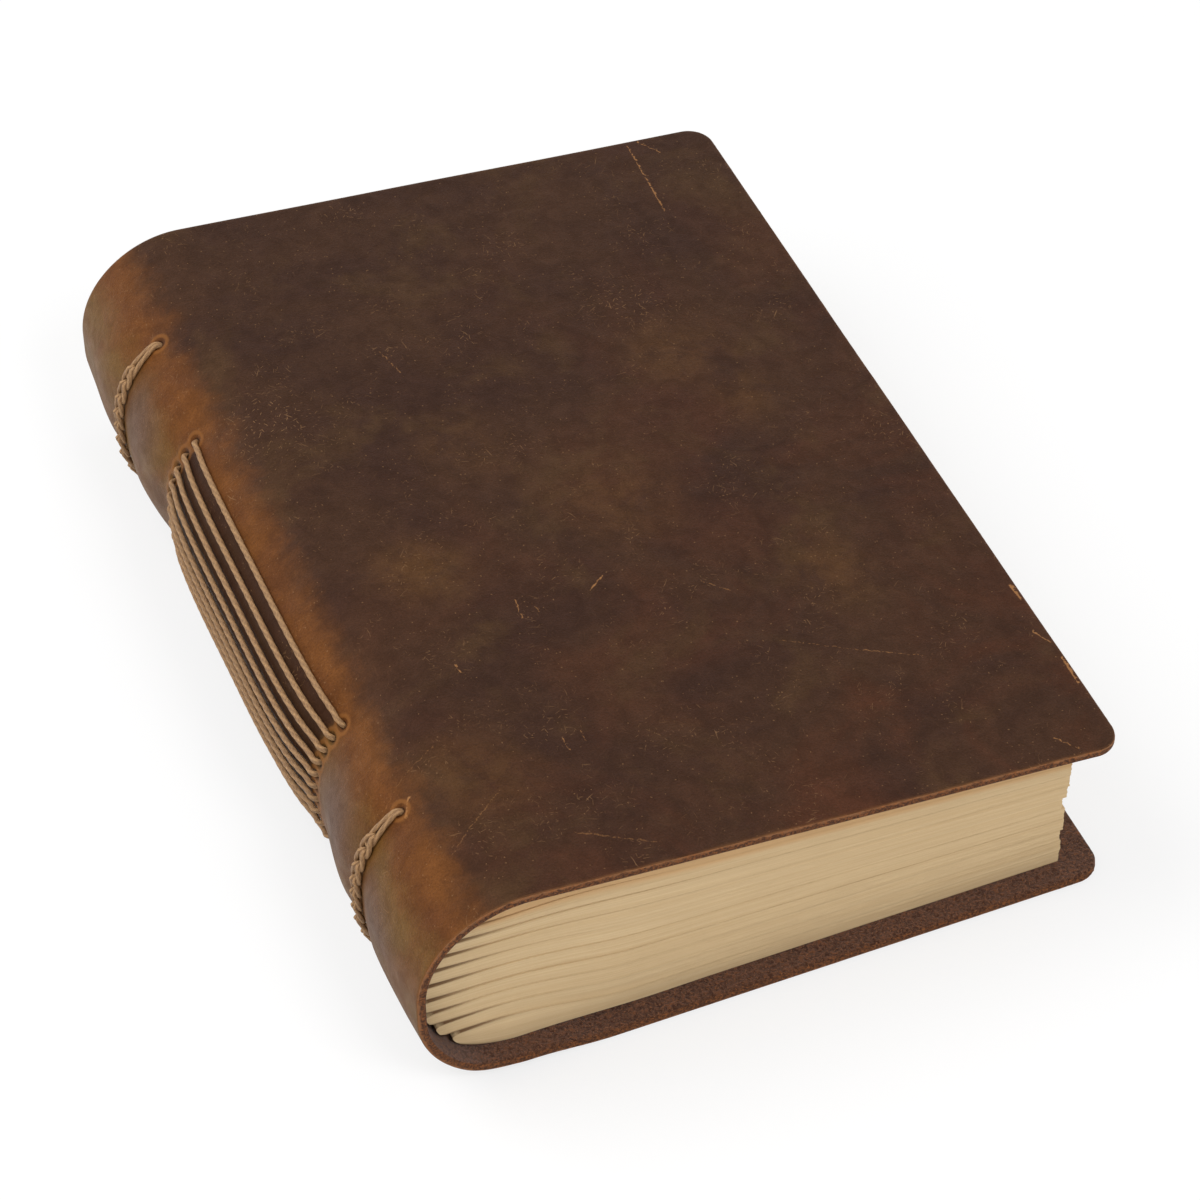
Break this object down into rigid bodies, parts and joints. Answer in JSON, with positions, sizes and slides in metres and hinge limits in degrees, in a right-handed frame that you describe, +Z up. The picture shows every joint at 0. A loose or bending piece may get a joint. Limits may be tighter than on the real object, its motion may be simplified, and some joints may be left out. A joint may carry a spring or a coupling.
{
  "type": "leather travel journal",
  "caption": "Thick hand-sewn journal: folded paper signatures stitched through a one-piece rugged brown leather wrap with a rounded spine, link-stitch chains and long stitches.",
  "frame": {"origin": "centre of the closed book's box, on the surface that its back cover lies on", "axes": "+X from the spine to the fore-edge, +Y from the tail to the head, +Z up through the closed book from its back cover"},
  "size_m": [0.1521, 0.21, 0.0506],
  "materials": {
    "cover_leather": "waxed pull-up leather, dark brown with lighter scuffs and clouds",
    "spine_leather": "waxed pull-up leather, worn to a lighter orange brown",
    "paper": "uncoated cream-tan paper with cut and torn edges",
    "thread": "waxed tan cord"
  },
  "bodies": {
    "back_cover": {"back_cover": "cover_leather"},
    "book_block": {"text_block": "paper", "spine_leather": "spine_leather", "sewing_thread": "thread"},
    "front_cover": {"front_cover": "cover_leather"}
  },
  "joints": [
    {"name": "back_cover_hinge", "type": "hinge", "parent": "back_cover", "child": "book_block", "pos_m": [-0.05145, 0, 0], "axis": [0, -1, 0], "range_deg": [0, 175]},
    {"name": "front_cover_hinge", "type": "hinge", "parent": "book_block", "child": "front_cover", "pos_m": [-0.05041, 0, 0.05051], "axis": [0, -1, 0], "range_deg": [0, 175]}
  ]
}
